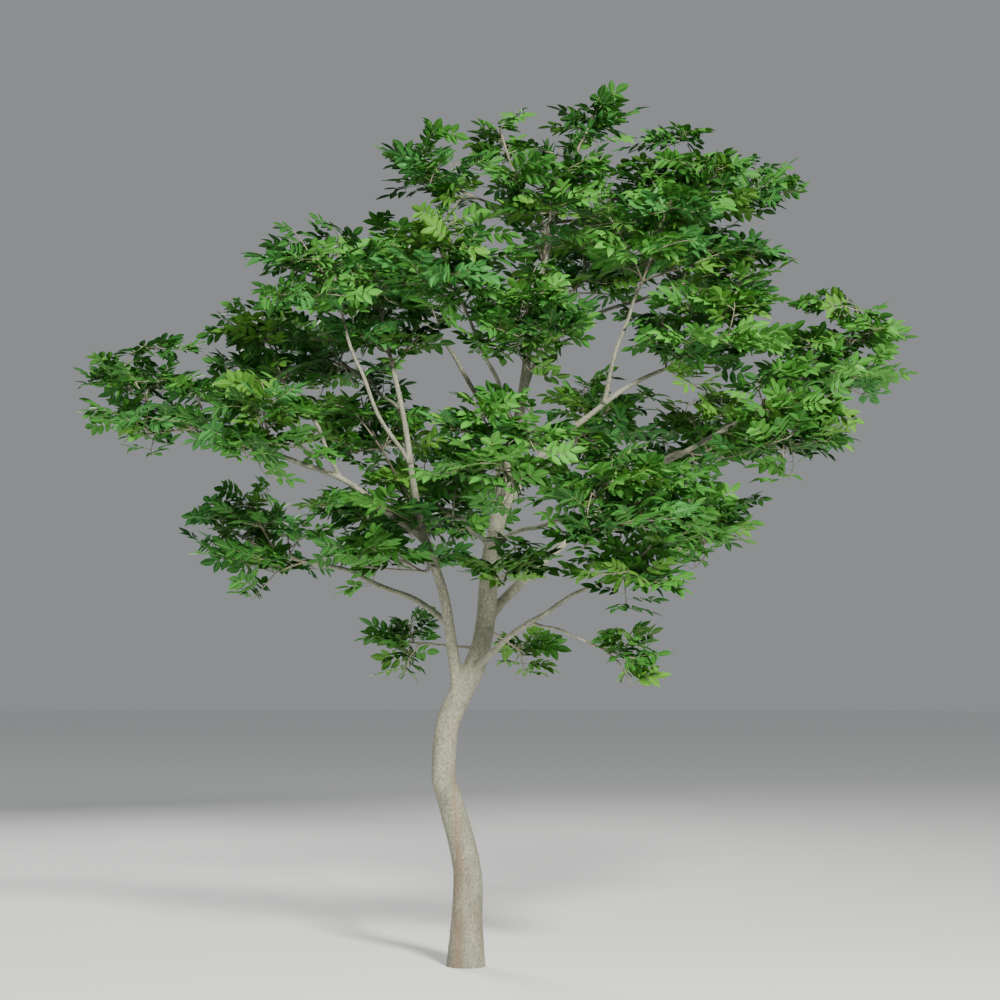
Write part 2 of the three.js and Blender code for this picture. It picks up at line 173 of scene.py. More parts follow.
# Finer growth in the masses
STEM_TIP_RADIUS = 4.8 * MM
NEAR_STEM_RADIUS = 8 * MM  # of a stem that meets its limb, at its root
TWIG_RADII = (5.6 * MM, 3.2 * MM)
TWIG_BEND_PLACE = 0.45  # where along a twig its bend lies
TWIG_BEND = 0.08  # how far that bend follows the stem, as a share of the twig's length
TWIGLET_RADII = (3.2 * MM, 1.7 * MM)
TWIGLET_BEND = 0.3  # how far a twiglet's bend follows its twig, as a share of the twiglet's length
TWIGLET_BEND_PLACE = 0.3
TWIGLET_RISE_PLACE = 0.7  # above the place of its bend, because a twiglet rises early and then levels out
SHORTEST_TWIGLET = 40 * MM
TURN_COST = 0.7  # how much further off a twig counts when a twiglet has to turn back from it
STEM_FORKS = 12  # places compared along a stem, a twig and a twiglet, when a twiglet looks for its root
TWIG_FORKS = 8
TWIGLET_FORKS = 6
TIER_SPACING = 165 * MM  # height between the level tiers that twiglets end in
LOWEST_TIER = 35 * MM  # from the lowest tier to the bottom of its mass
HIGHEST_TIER = 70 * MM  # from the highest tier to the top of its mass
TIER_TILT = 0.14  # how much a tier rises away from the middle of the crown
SPRAY_SPACING = 138 * MM  # between twiglets' ends in a tier
SPRAY_INSET = 150 * MM  # from most twiglets' ends to the edge of their mass
RAGGED_INSET = 75 * MM  # the same for those that make the outline ragged
RAGGED_SPRAYS = 3  # one in so many of a tier's outer twiglets is one of those
SPRAY_SCATTER = 16 * MM
LEAST_ROOM = 15 * MM  # room that a twiglet's end keeps within its own space
LEAF_SLACK = 25 * MM  # how far a leaf's tip may stand out of that space
LEAF_CLEARANCE = 12 * MM  # from a leaf's middle to any limb
LEAVES_PER_SPRAY = (5, 5, 6, 6)
LEAF_AZIMUTHS = (0.0, 0.8, -0.8, 1.25, -1.25, 1.1)  # from the twiglet's own heading
LEAF_SPACING = 24 * MM  # between leaves along their twiglet
FIRST_LEAF = 0.2  # share of a twiglet before which no leaf leaves it
LEAF_SIZES = (0.85, 1.1)  # least and most
LEAST_RISE = -0.2  # how much a leaf points up, as a share of its length
MOST_RISE = 0.8
LEAF_TRIES = 7  # bearings tried for a leaf, each further off and for a smaller leaf, until it fits
BEARING_SPREAD = 0.22  # radians, for the first try
LAST_TRY_SPREAD = 3  # as a multiple of the first
LAST_TRY_SIZE = 0.62
SPRAY_ROLL = 0.5  # spread of the sideways tilt that the leaves of a spray share, in radians
LEAF_ROLL = 0.38  # spread of each leaf's own sideways tilt
# Masses that are thinner than the rest: their share of the usual twiglets
THIN_MASSES = {
    "left_leader": 0.8,
    "far_left": 0.85,
    "left_upper": 0.8,
    "upper_left": 0.75,
    "left_back": 0.8,
    "low_left": 0.65,
    "left_low": 0.95,
    "low_right": 0.95,
    "low_spray": 0.55,
    "right_back": 0.85,
    "right_inner": 0.9,
    "centre_front": 0.85,
    "back_upper": 0.8,
    "right_top_back": 0.85,
    "top_left": 0.7,
    "left_middle": 0.85,
    "left_centre": 0.9,
    "low_back_left": 0.4,
    "low_back_right": 0.4,
    "right_centre": 0.8,
    "top": 0.85,
    "top_back": 0.5,
}

STEM_POINTS = 12  # points on the line of a stem, a twig and a twiglet
TWIG_POINTS = 7
TWIGLET_POINTS = 5
TWIG_SIDES = 5
STEEP = 0.8  # a tube that rises more than this has its rings laid out from the right, not from above

# Compound leaves
LEAFLET_LENGTH = 73 * MM
LEAFLET_WIDTH = 35 * MM
LEAFLET_THICKNESS = 0.9 * MM
# Along a leaflet, as a share of its length, and its half width there as a share of its width
LEAFLET_OUTLINE = ((0.0, 0.0), (0.12, 0.3), (0.34, 0.5), (0.62, 0.46), (0.86, 0.22), (1.0, 0.0))
PETIOLE_LENGTH = 44 * MM
PAIR_SPACING = 37 * MM
PAIR_SCATTER = 4 * MM
PAIR_SIZES = (0.82, 1.0, 1.0)  # from the first pair on the rachis to the last
PAIR_ANGLES = (0.85, 1.08)  # radians from the rachis
END_SPACING = 22 * MM  # from the last pair to the leaflet at the end
END_SIZE = 1.06
END_ANGLE = 0.1
KIND_PAIRS = (2, 2, 3, 2, 2, 3)  # pairs of leaflets in each kind of leaf
KINDS_SEED = 7
RACHIS_ARCHES = (0.05, 0.22)  # slope in which a rachis sets out, least and most
RACHIS_SAG = 0.35  # how far it falls along its length, as a share of that arch
LEAFLET_SIZES = (0.93, 1.07)  # least and most, as are the pairs of values below
LEAFLET_FOLDS = (0.12, 0.4)  # rise of a half blade from its midrib
LEAFLET_DROOPS = (0.03, 0.2)  # fall of a leaflet's tip, as a share of its length
LEAFLET_PITCHES = (-0.28, 0.12)
LEAFLET_ROLL = 0.3
STALK_RADII = np.array((1.5, 1.1, 0.7)) * MM  # at the foot, middle and tip of a leaf's stalk and rachis
STALK_SIDES = 3

# Bark: base colours (linear) of its parts
TRUNK_BARK = {
    "Pale": (0.288, 0.291, 0.214),
    "Dark": (0.122, 0.126, 0.086),
    "Ruddy": (0.215, 0.135, 0.084),
    "Fleck": (0.57, 0.54, 0.38),
}
TWIG_BARK = {
    "Pale": (0.30, 0.268, 0.195),
    "Dark": (0.13, 0.118, 0.082),
    "Ruddy": (0.22, 0.15, 0.10),
    "Fleck": (0.42, 0.38, 0.28),
}
TRUNK_BUMP_DEPTH = 3 * MM
TWIG_BUMP_DEPTH = 1 * MM
STREAK_LEFT = 45 * MM  # how far left of the trunk's foot the ruddy streak runs up its front
STREAK_WAVER = 0.16  # how far it wanders to the side, in metres, over the range of its noise
SCATTERED_RUDDY = 0.3  # strength of the streaks on the other sides
RUDDY_STRENGTH = 0.8
FLECK_STRENGTH = 0.8
SHADE_SHARES = (0.6, 0.25, 0.15)  # of the mottling, the clouds and the wrinkles in how pale the bark is
RELIEF_SHARES = (0.6, 0.5, 0.35)  # of the mottling, the flecks and the wrinkles in how far it stands out
SMOOTHEST_BARK = 0.55  # its least roughness
ROUGH_MOTTLING = 0.3  # how much rougher it is where the mottling is palest
BARK_BUMP = 0.85
# Noises of the bark: forms to the metre, how much flatter they are than wide, detail and roughness
MOTTLING = (130, 0.6, 5.0, 0.72)
CLOUDS = (15, 0.4, 4.0, 0.55)
WRINKLES = (70, 5.0, 3.0, 0.6)
SPECKS = (210, 0.42, 2.0, 0.5)
STREAKS = (19, 0.12, 4.0, 0.6)
# Where each of its marks begins and where it is full: in metres, and in the values of its noise
STREAK_EDGES = (36 * MM, 4 * MM)
FRONT_EDGES = (0.0, -20 * MM)
RUDDY_HEIGHTS = (1.3, 0.75)
SCATTER_EDGES = (0.5, 0.66)
BROKEN_EDGES = (0.34, 0.54)
FLECK_EDGES = (0.57, 0.66)
FLECKED_CLOUDS = (0.36, 0.62)
PALE_EDGES = (0.39, 0.61)

# Leaf tones: name, base colour (linear) and share of the sprays
LEAF_TONES = [
    ("bright", (0.064, 0.245, 0.032), 0.17),
    ("fresh", (0.045, 0.195, 0.024), 0.18),
    ("middle", (0.031, 0.150, 0.020), 0.18),
    ("cool", (0.034, 0.168, 0.034), 0.15),
    ("deep", (0.016, 0.088, 0.013), 0.15),
    ("lime", (0.074, 0.215, 0.024), 0.09),
    ("olive", (0.038, 0.120, 0.016), 0.08),
]
PALE_GREEN = (0.36, 0.55, 0.18)
VEIN_PALENESS = 0.3  # how far a leaf's veins go from its own colour to that
VEINS_SHOWN = 0.75  # how much of that difference the midrib shows
SIDE_VEINS = 0.4  # strength of the side veins beside the midrib
VEIN_WAVES = 50.0  # radians of the side veins' wave along a leaflet
VEIN_SLANT = 0.5
# Where each begins and where it is full: across a leaflet from its midrib, and in the value of that wave
MIDRIB_EDGES = (0.07, 0.015)
VEIN_ENDS = (0.45, 0.1)
VEIN_EDGES = (0.72, 1.0)
LEAF_BUMP = 0.35
LEAF_BUMP_DEPTH = 1 * MM
LEAF_ROUGHNESS = 0.52
LEAF_GLOSS = 0.14
STALK_GREENS = ((0.16, 0.26, 0.07, 1), (0.27, 0.34, 0.12, 1))
STALK_CLOUDS = (14, 1.0, 2.0, 0.55)
STALK_SHADES = (0.35, 0.65)
STALK_ROUGHNESS = 0.5

# Stage
FLOOR_RADIUS = 40
FLOOR_SIDES = 96
FLOOR_COLOUR = (0.86, 0.86, 0.85, 1)
FLOOR_ROUGHNESS = 0.9
SKY_COLOUR = (0.80, 0.83, 0.86, 1)
SKY_STRENGTH = 0.34
CROWN_MIDDLE = (0.1, 0, 2.6)  # where the lights point
# Each light: name, place, size, power and colour
LIGHTS = [
    ("key", (3.3, -8.8, 7.2), 1.5, 2450, (1.0, 0.97, 0.92)),
    ("fill", (-6.5, -5.0, 3.5), 4.0, 70, (0.92, 0.96, 1.0)),
    ("back", (-4.0, 7.5, 6.5), 3.0, 620, (1.0, 0.98, 0.95)),
]
CAMERA_PLACE = (0.162, -11.922, 1.570)
CAMERA_TILT = math.radians(93.0588)  # from straight down
LENS = 90  # focal length and sensor width, in millimetres
SENSOR = 36
VIEW_END = 100  # how far the camera sees


def lerp(a, b, t):
    return a + (b - a) * t


def unit(v):
    return v / norm(v)


def metres(*values):
    return np.array(values, float) * MM


# Numbers from 0 to 1 in the same order as in the part's source
def seeded(seed):
    state = seed

    def draw():
        nonlocal state
        state = state * SEED_FACTOR % SEED_PRIME
        return state / SEED_PRIME

    return draw


def placed_object(name, data):
    obj = bpy.data.objects.new(name, data)
    bpy.context.scene.collection.objects.link(obj)
    return obj


def finished_mesh(bm, name):
    mesh = bpy.data.meshes.new(name)
    bm.to_mesh(mesh)
    bm.free()
    return mesh


def everything(bm):
    return bm.verts[:] + bm.edges[:] + bm.faces[:]


def of_type(items, kind):
    return [item for item in items if isinstance(item, kind)]


# A limb's middle line and its radius, from 0 at the root to 1 at the tip
class Path:
    def __init__(self, at, radius):
        self.at = at
        self.radius = radius
        points = np.array([at(i / PATH_STRETCHES) for i in range(PATH_STRETCHES + 1)])
        self.length = norm(np.diff(points, axis=0), axis=1).sum()

    def heading(self, t):
        return unit(self.at(min(t + HEADING_STEP, 1)) - self.at(max(t - HEADING_STEP, 0)))

    def share_at_height(self, height):
        low, high = 0.0, 1.0
        for _ in range(HALVINGS):
            middle = (low + high) / 2
            if self.at(middle)[2] < height:
                low = middle
            else:
                high = middle
        return low


# A smooth curve through the trunk's bends, with half the step between a bend's neighbours as its slope there
def trunk_path():
    bends = np.array([(right, back, height) for height, right, back, _ in TRUNK]) * MM
    radii = [radius * MM for _, _, _, radius in TRUNK]
    last = len(TRUNK) - 1
    points = np.vstack([2 * bends[0] - bends[1], bends, 2 * bends[last] - bends[last - 1]])

    def at(t):
        below = min(int(t * last), last - 1)
        w = t * last - below
        before, start, end, after = points[below : below + 4]
        leave = (end - before) / 2
        arrive = (after - start) / 2
        turn = 3 * (end - start) - 2 * leave - arrive
        return start + leave * w + turn * w**2 + (leave + arrive - 2 * (end - start)) * w**3

    def radius(t):
        below = min(int(t * last), last - 1)
        return lerp(radii[below], radii[below + 1], t * last - below)

    return Path(at, radius)


def bough_path(root, entry, bow, radii, draw):
    length = norm(entry - root)
    phase_right = draw() * 2 * math.pi
    phase_up = draw() * 2 * math.pi

    def at(t):
        point = lerp(root, entry, t) + bow * 4 * t * (1 - t)
        swing = BOUGH_SWAY * length * math.sin(math.pi * t)
        point[0] += swing * math.sin(SWAY_RIGHT * t + phase_right)
        point[2] += swing * math.sin(SWAY_UP * t + phase_up)
        return point

    return Path(at, lambda t: lerp(radii[0], radii[1], t**BOUGH_TAPER))


def bent_path(root, control, end, radii):
    def at(t):
        return root * (1 - t) ** 2 + control * 2 * t * (1 - t) + end * t**2

    return Path(at, lambda t: lerp(radii[0], radii[1], t))


# The limbs and masses, in the source's order
paths = {"trunk": trunk_path()}
parents = {}
masses = []


def flattened(points):
    return points / (1, 1, FLATNESS)


def limb_ends(parent, fork, centre, reach):
    root = paths[parent].at(paths[parent].share_at_height(fork * MM))
    outward = root - centre
    share = min(1, ENTRY_DEPTH * reach / norm(flattened(outward)))
    return root, centre + outward * share


# A mass and its stem, which sets out from start in the direction along and runs on past the middle
def add_mass(name, centre, reach, draw, start, along, entry, first_twig, radius):
    far = centre + (centre - entry) * STEM_OVERSHOOT
    control = start + along * norm(far - start) / 2
    mass = {
        "name": name,
        "index": len(masses),
        "centre": centre,
        "reach": reach,
        "draw": draw,
        "stem": bent_path(start, control, far, (radius, STEM_TIP_RADIUS)),
        "first_twig": first_twig,
    }
    masses.append(mass)


for name, parent, fork, bow, radii, middle, reach in BOUGHS:
    draw = seeded(SEED_STEP * (len(masses) + 1))
    centre = metres(*middle)
    root, entry = limb_ends(parent, fork, centre, reach * MM)
    paths[name] = bough_path(root, entry, metres(*bow), metres(*radii), draw)
    parents[name] = parent
    along = paths[name].heading(1)
    add_mass(name, centre, reach * MM, draw, entry, along, entry, FIRST_TWIG, radii[1] * MM)

for name, parent, fork, middle, reach in NEAR_FOLIAGE:
    draw = seeded(SEED_STEP * (len(masses) + 1))
    centre = metres(*middle)
    root, entry = limb_ends(parent, fork, centre, reach * MM)
    first_twig = max(FIRST_TWIG, norm(root - entry) / norm(root - centre))
    along = unit(centre - root)
    add_mass(name, centre, reach * MM, draw, root, along, entry, first_twig, NEAR_STEM_RADIUS)

mass_middles = np.array([mass["centre"] for mass in masses])
centres = flattened(mass_middles)
reaches = np.array([mass["reach"] for mass in masses])
crown_middle = mass_middles.mean(axis=0)


# How deep points lie in a mass's own space: its flattened ball, and the planes that it shares with the others
def room_left(index, points):
    here = flattened(np.atleast_2d(points))
    power = ((here[:, None] - centres) ** 2).sum(axis=2) - reaches**2
    apart = norm(centres - centres[index], axis=1)
    apart[index] = np.inf
    to_planes = (power - power[:, [index]]) / (2 * apart)
    to_planes[:, index] = np.inf
    to_edge = reaches[index] - norm(here - centres[index], axis=1)
    return np.minimum(to_edge, to_planes.min(axis=1))


# The frame of one ring of a limb. Its side stays close to the last ring's, so that the limb doesn't twist.
def ring_frame(path, t, side, radius):
    along = path.heading(t)
    side = unit(side - along * side.dot(along))
    turn = Matrix((side, np.cross(along, side), along)).transposed().to_4x4()
    return Matrix.Translation(path.at(t)) @ turn @ Matrix.Scale(radius, 4), side


# A closed tube: a circle is extruded ring by ring, and each new ring is moved on along the path.
def limb_mesh(path, sides, spacing, start, end, radius):
    bm = bmesh.new()
    rings = max(FEWEST_RINGS, round(path.length * (end - start) / spacing))
    circle = bmesh.ops.create_circle(bm, segments=sides, radius=1)["verts"]
    side = np.cross(path.heading(start), RING_REFERENCE)
    here, side = ring_frame(path, start, side, radius(start))
    bmesh.ops.transform(bm, matrix=here, verts=circle)
    first_edges = bm.edges[:]
    edges = first_edges
    for ring in range(1, rings + 1):
        t = lerp(start, end, ring / rings)
        extruded = bmesh.ops.extrude_edge_only(bm, edges=edges)["geom"]
        verts = of_type(extruded, BMVert)
        edges = [edge for edge in of_type(extruded, BMEdge) if all(vert in verts for vert in edge.verts)]
        there, side = ring_frame(path, t, side, radius(t))
        bmesh.ops.transform(bm, matrix=there @ here.inverted(), verts=verts)
        here = there
    bmesh.ops.contextual_create(bm, geom=first_edges)
    bmesh.ops.contextual_create(bm, geom=edges)
    bmesh.ops.recalc_face_normals(bm, faces=bm.faces)
    return finished_mesh(bm, "limb")


# The last share of a path that is thick, or 0
def thick_share(path):
    shares = np.linspace(0, 1, THICKNESS_STEPS + 1)
    thick = [t for t in shares if path.radius(t) > THICK_RADIUS]
    return thick[-1] if thick else 0.0


thick_shares = {name: thick_share(path) for name, path in paths.items()}


# The parent's radius where a limb leaves it
def fork_radius(name):
    parent = paths[parents[name]]
    return parent.radius(parent.share_at_height(paths[name].at(0)[2]))


# A limb's radius, swollen where it leaves its parent
def collared(name):
    path = paths[name]
    if name not in parents:
        return path.radius
    collar = COLLAR_REACH * fork_radius(name)

    def radius(t):
        from_root = t * path.length / collar
        return path.radius(t) * (1 + COLLAR_SWELL * math.exp(-(from_root**2)))

    return radius


# The same radius, drawn in towards the end that hides inside another limb
def tucked(name, end):
    swollen = collared(name)
    length = paths[name].length

    def radius(t):
        from_end = abs(t - end) * length
        return swollen(t) * lerp(END_TUCK, 1, min(1, from_end / FINE_OVERLAP))

    return radius


# Samples of every limb, to find the nearest one's thickness and to keep leaves clear of the wood
limb_points = []
limb_radii = []
for path in paths.values():
    count = math.ceil(path.length / LIMB_SAMPLE_SPACING)
    for i in range(count + 1):
        limb_points.append(path.at(i / count))
        limb_radii.append(path.radius(i / count))
limb_points = np.array(limb_points)
limb_radii = np.array(limb_radii)


def nearest_radius(place):
    return limb_radii[((limb_points - place) ** 2).sum(axis=1).argmin()]


# How far the bark stands out from the plain limb: slow swellings, lumps, wrinkles across it and small warts
def bark_relief(point, radius):
    swelling = noise.fractal(point * SWELLINGS_PER_METRE, 1.0, 2.0, 2)
    lump = noise.fractal(point * LUMPS_PER_METRE, 1.0, 2.0, 2)
    across = Vector((point.x * WRINKLES_AROUND, point.y * WRINKLES_AROUND, point.z * WRINKLES_ALONG))
    wart = max(0.0, noise.noise(point * WARTS_PER_METRE) - WART_RARITY)
    share = min(1.0, radius / FULL_RELIEF_RADIUS)
    forms = SWELLING_HEIGHT * swelling + LUMP_HEIGHT * lump + WART_HEIGHT * wart
    return forms * share + WRINKLE_HEIGHT * noise.noise(across)


def read(items, key, width, number_type=np.float32):
    values = np.empty(len(items) * width, number_type)
    items.foreach_get(key, values)
    return values


def displace(mesh):
    places = read(mesh.vertices, "co", 3).reshape(-1, 3)
    normals = read(mesh.vertices, "normal", 3).reshape(-1, 3)
    reliefs = [bark_relief(Vector(place), nearest_radius(place)) for place in places]
    places += normals * np.array(reliefs, np.float32)[:, None]
    mesh.vertices.foreach_set("co", places.ravel())
    mesh.update()


def applied(obj):
    bpy.context.view_layer.update()
    depsgraph = bpy.context.evaluated_depsgraph_get()
    mesh = bpy.data.meshes.new_from_object(obj.evaluated_get(depsgraph))
    bpy.data.objects.remove(obj)
    return mesh


# The thick limbs, melted into one surface. The cap at the trunk's foot goes on below ground.
def thick_wood():
    bm = bmesh.new()
    for name, path in paths.items():
        end = thick_shares[name]
        if end > 0:
            bm.from_mesh(limb_mesh(path, THICK_SIDES, THICK_RING_SPACING, 0, end, tucked(name, end)))
    caps = [face for face in bm.faces if len(face.verts) == THICK_SIDES]
    foot = [cap for cap in caps if cap.calc_center_median().z < AT_GROUND]
    below = bmesh.ops.extrude_face_region(bm, geom=foot)["geom"]
    bmesh.ops.translate(bm, verts=of_type(below, BMVert), vec=(0, 0, -GROUND_SINK))
    bmesh.ops.delete(bm, geom=foot, context="FACES_ONLY")
    obj = placed_object("thick_wood", finished_mesh(bm, "thick_wood"))
    remesh = obj.modifiers.new("melt", "REMESH")
    remesh.mode = "VOXEL"
    remesh.voxel_size = VOXEL
    return applied(obj)


def smooth(bm, verts):
    bmesh.ops.smooth_vert(bm, verts=verts, factor=0.5, use_axis_x=True, use_axis_y=True, use_axis_z=True)


# Each round at a fork reaches a little less far, so that the smoothing has no edge.
def smooth_forks(mesh):
    bm = bmesh.new()
    bm.from_mesh(mesh)
    for _ in range(WHOLE_SMOOTHING):
        smooth(bm, bm.verts)
    for name in parents:
        if thick_shares[name] == 0:
            continue
        fork = Vector(paths[name].at(0))
        span = FORK_REACH * fork_radius(name) + paths[name].radius(0)
        near = [(vert, (vert.co - fork).length / span) for vert in bm.verts]
        near = [(vert, away) for vert, away in near if away < 1 + FORK_FADE]
        for done in range(FORK_SMOOTHING):
            edge = 1 + FORK_FADE * (1 - (done + 1) / FORK_SMOOTHING)
            smooth(bm, [vert for vert, away in near if away < edge])
    bm.to_mesh(mesh)
    bm.free()
    mesh.update()


def cut_at_ground(mesh):
    bm = bmesh.new()
    bm.from_mesh(mesh)
    up = (0, 0, 1)
    bmesh.ops.bisect_plane(bm, geom=everything(bm), plane_co=(0, 0, 0), plane_no=up, clear_inner=True)
    for face in bm.faces:
        face.smooth = True
    rim = [edge for edge in bm.edges if edge.is_boundary]
    for face in bmesh.ops.contextual_create(bm, geom=rim)["faces"]:
        face.smooth = False
    for edge in rim:
        edge.smooth = False
    bm.to_mesh(mesh)
    bm.free()
    mesh.update()


# The rest of each bough and of the trunk, from where the thick surface ends
def fine_wood():
    bm = bmesh.new()
    for name, path in paths.items():
        start = max(0, thick_shares[name] - FINE_OVERLAP / path.length)
        radius = tucked(name, start) if start > 0 else collared(name)
        bm.from_mesh(limb_mesh(path, FINE_SIDES, FINE_RING_SPACING, start, 1, radius))
    for face in bm.faces:
        face.smooth = True
    return finished_mesh(bm, "fine_boughs")


# Finer growth. Twigs leave the stem towards points spread evenly over the mass's space.
def grow_twigs(mass):
    stem = mass["stem"]
    centre, reach = mass["centre"], mass["reach"]
    count = round(reach / TWIG_SPACING)
    wide = reach - BLADE_LENGTH * TWIG_INSET_ACROSS
    high = reach * FLATNESS - BLADE_LENGTH * TWIG_INSET_UP
    start = stem.at(0)
    run = stem.at(1) - start
    phase = mass["draw"]() * 2 * math.pi
    grown = []
    for k in range(count):
        lift = 1 - 2 * (k + 0.5) / count
        spread = math.sqrt(1 - lift * lift)
        angle = phase + k * GOLDEN_ANGLE
        end = centre + (wide * spread * math.cos(angle), wide * spread * math.sin(angle), high * lift)
        level = (end - start).dot(run) / run.dot(run)
        share = level - TWIG_LAG * reach / norm(run)
        share = min(max(share, mass["first_twig"]), LAST_TWIG)
        root = stem.at(share)
        if room_left(mass["index"], np.array((root, end))).min() < 0:
            continue
        bend = stem.heading(share) * TWIG_BEND * norm(end - root)
        grown.append(bent_path(root, lerp(root, end, TWIG_BEND_PLACE) + bend, end, TWIG_RADII))
    return grown


# Where twiglets end: points spread evenly over level tiers, each as wide as the mass is at its height
def spray_targets(mass, rng):
    reach = mass["reach"]
    fullness = THIN_MASSES.get(mass["name"], 1)
    lowest = LOWEST_TIER - reach * FLATNESS
    highest = reach * FLATNESS - HIGHEST_TIER
    tiers = max(2, round((highest - lowest) / TIER_SPACING) + 1)
    outward = unit((mass["centre"] - crown_middle) * (1, 1, 0))
    targets = []
    for height in np.linspace(lowest, highest, tiers):
        wide = reach * math.sqrt(1 - (height / (reach * FLATNESS)) ** 2)
        across = max(wide - SPRAY_INSET, SPRAY_SPACING / 2)
        count = max(1, round(fullness * (2 * across / SPRAY_SPACING) ** 2))
        turn = rng.uniform(0, 2 * math.pi)
        for k in range(count):
            angle = turn + k * GOLDEN_ANGLE
            distance = across * math.sqrt((k + 0.5) / count)
            if k >= count / 2 and k % RAGGED_SPRAYS == 1:
                distance += SPRAY_INSET - RAGGED_INSET
            offset = np.array((distance * math.cos(angle), distance * math.sin(angle), height))
            offset[2] += TIER_TILT * offset.dot(outward)
            targets.append(mass["centre"] + offset + rng.normal(0, SPRAY_SCATTER, 3))
    targets = np.array(targets)
    return targets[room_left(mass["index"], targets) > LEAST_ROOM]


def forks_along(path, shares):
    return [(path.at(t), path.heading(t)) for t in shares]


# Each twiglet leaves the nearest twig at a forward angle, and later ones may leave it in turn. The places
# next to a twig's or twiglet's own root are left out.
def grow_twiglets(mass, twigs, rng):
    forks = forks_along(mass["stem"], np.linspace(mass["first_twig"], 1, STEM_FORKS))
    for twig in twigs:
        forks += forks_along(twig, np.linspace(0, 1, TWIG_FORKS)[1:])
    targets = spray_targets(mass, rng)
    places = np.array([place for place, _ in forks])
    order = np.argsort([norm(places - target, axis=1).min() for target in targets])
    twiglets = []
    for target in targets[order]:
        places = np.array([place for place, _ in forks])
        headings = np.array([heading for _, heading in forks])
        gaps = target - places
        distances = norm(gaps, axis=1)
        forward = (gaps * headings).sum(axis=1) / np.maximum(distances, TINY)
        best = np.argmin(distances * (1 + TURN_COST - TURN_COST * forward))
        root, heading, distance = places[best], headings[best], distances[best]
        if distance < SHORTEST_TWIGLET:
            continue
        control = root + heading * TWIGLET_BEND * distance + (target - root) * TWIGLET_BEND_PLACE
        control[2] = lerp(root[2], target[2], TWIGLET_RISE_PLACE)
        twiglet = bent_path(root, control, target, TWIGLET_RADII)
        twiglets.append(twiglet)
        forks += forks_along(twiglet, np.linspace(0, 1, TWIGLET_FORKS)[2:])
    return twiglets


def deal_tone(rng):
    shares = np.array([share for _, _, share in LEAF_TONES])
    return rng.choice(len(LEAF_TONES), p=shares / shares.sum())


# The leaves of one spray fan out from its twiglet. They point a little up, and are tilted about their own
# length. Of each leaf, this gives its root, its turn and size in one matrix, its kind and its tone.
def grow_leaves(mass, twig, rng):
    index = mass["index"]
    tone = deal_tone(rng)
    count = LEAVES_PER_SPRAY[rng.integers(len(LEAVES_PER_SPRAY))]
    mirrored = rng.choice((-1, 1))
    shared_roll = rng.normal(0, SPRAY_ROLL)
    grown = []
    for j in range(count):
        share = max(1 - j * LEAF_SPACING / twig.length, FIRST_LEAF)
        root = twig.at(share)
        heading = twig.heading(share)
        bearing = math.atan2(heading[1], heading[0]) + LEAF_AZIMUTHS[j] * mirrored
        rise = rng.uniform(LEAST_RISE, MOST_RISE)
        roll = shared_roll + rng.normal(0, LEAF_ROLL)
        off = rng.normal(0, BEARING_SPREAD, LEAF_TRIES) * np.linspace(1, LAST_TRY_SPREAD, LEAF_TRIES)
        sizes = rng.uniform(*LEAF_SIZES) * np.linspace(1, LAST_TRY_SIZE, LEAF_TRIES)
        ways = np.stack((np.cos(bearing + off), np.sin(bearing + off), np.full(LEAF_TRIES, rise)), axis=1)
        ways /= math.sqrt(1 + rise**2)
        kind = rng.integers(len(leaf_kinds))
        tips = root + ways * (leaf_kinds[kind]["length"] * sizes)[:, None]
        middles = (root + tips) / 2
        room = np.minimum(room_left(index, tips), room_left(index, middles)) > -LEAF_SLACK
        from_limbs = norm(middles[:, None] - limb_points, axis=2) - limb_radii
        fits = room & (from_limbs.min(axis=1) > LEAF_CLEARANCE)
        if not fits.any():
            continue
        best = int(fits.argmax())
        way = ways[best]
        level = unit(np.cross(way, UP))
        across = level * math.cos(roll) + np.cross(way, level) * math.sin(roll)
        turn = np.array((across, way, np.cross(across, way))).T * sizes[best]
        grown.append((root, turn, kind, tone))
    return grown


# One leaflet, with its base at the origin: a grid drawn in to the outline, folded along its midrib, and
# closed by an underside that meets it at the rim
def leaflet_mesh(length, width, fold, droop):
    bm = bmesh.new()
    uv_layer = bm.loops.layers.uv.new("OFBake")
    rows = len(LEAFLET_OUTLINE) - 1
    bmesh.ops.create_grid(bm, x_segments=2, y_segments=rows, size=0.5)
    for vert in bm.verts:
        along, half = LEAFLET_OUTLINE[round((vert.co.y + 0.5) * rows)]
        across = vert.co.x * 2 * half
        height = fold * abs(across) * width - droop * along**2 * length
        vert.co = (across * width, along * length, height)
    under = bmesh.ops.duplicate(bm, geom=everything(bm))["geom"]
    bmesh.ops.reverse_faces(bm, faces=of_type(under, BMFace))
    for vert in of_type(under, BMVert):
        if abs(vert.co.x) < TINY and 0 < vert.co.y < length - TINY:
            vert.co.z -= LEAFLET_THICKNESS
    bmesh.ops.remove_doubles(bm, verts=bm.verts, dist=TINY)
    bmesh.ops.dissolve_degenerate(bm, edges=bm.edges, dist=TINY)
    for face in bm.faces:
        face.smooth = True
        for loop in face.loops:
            place = loop.vert.co
            loop[uv_layer].uv = (0.5 + place.x / width, place.y / length)
    for edge in bm.edges:
        edge.smooth = abs(edge.verts[0].co.y - edge.verts[1].co.y) < TINY
    return finished_mesh(bm, "leaflet")


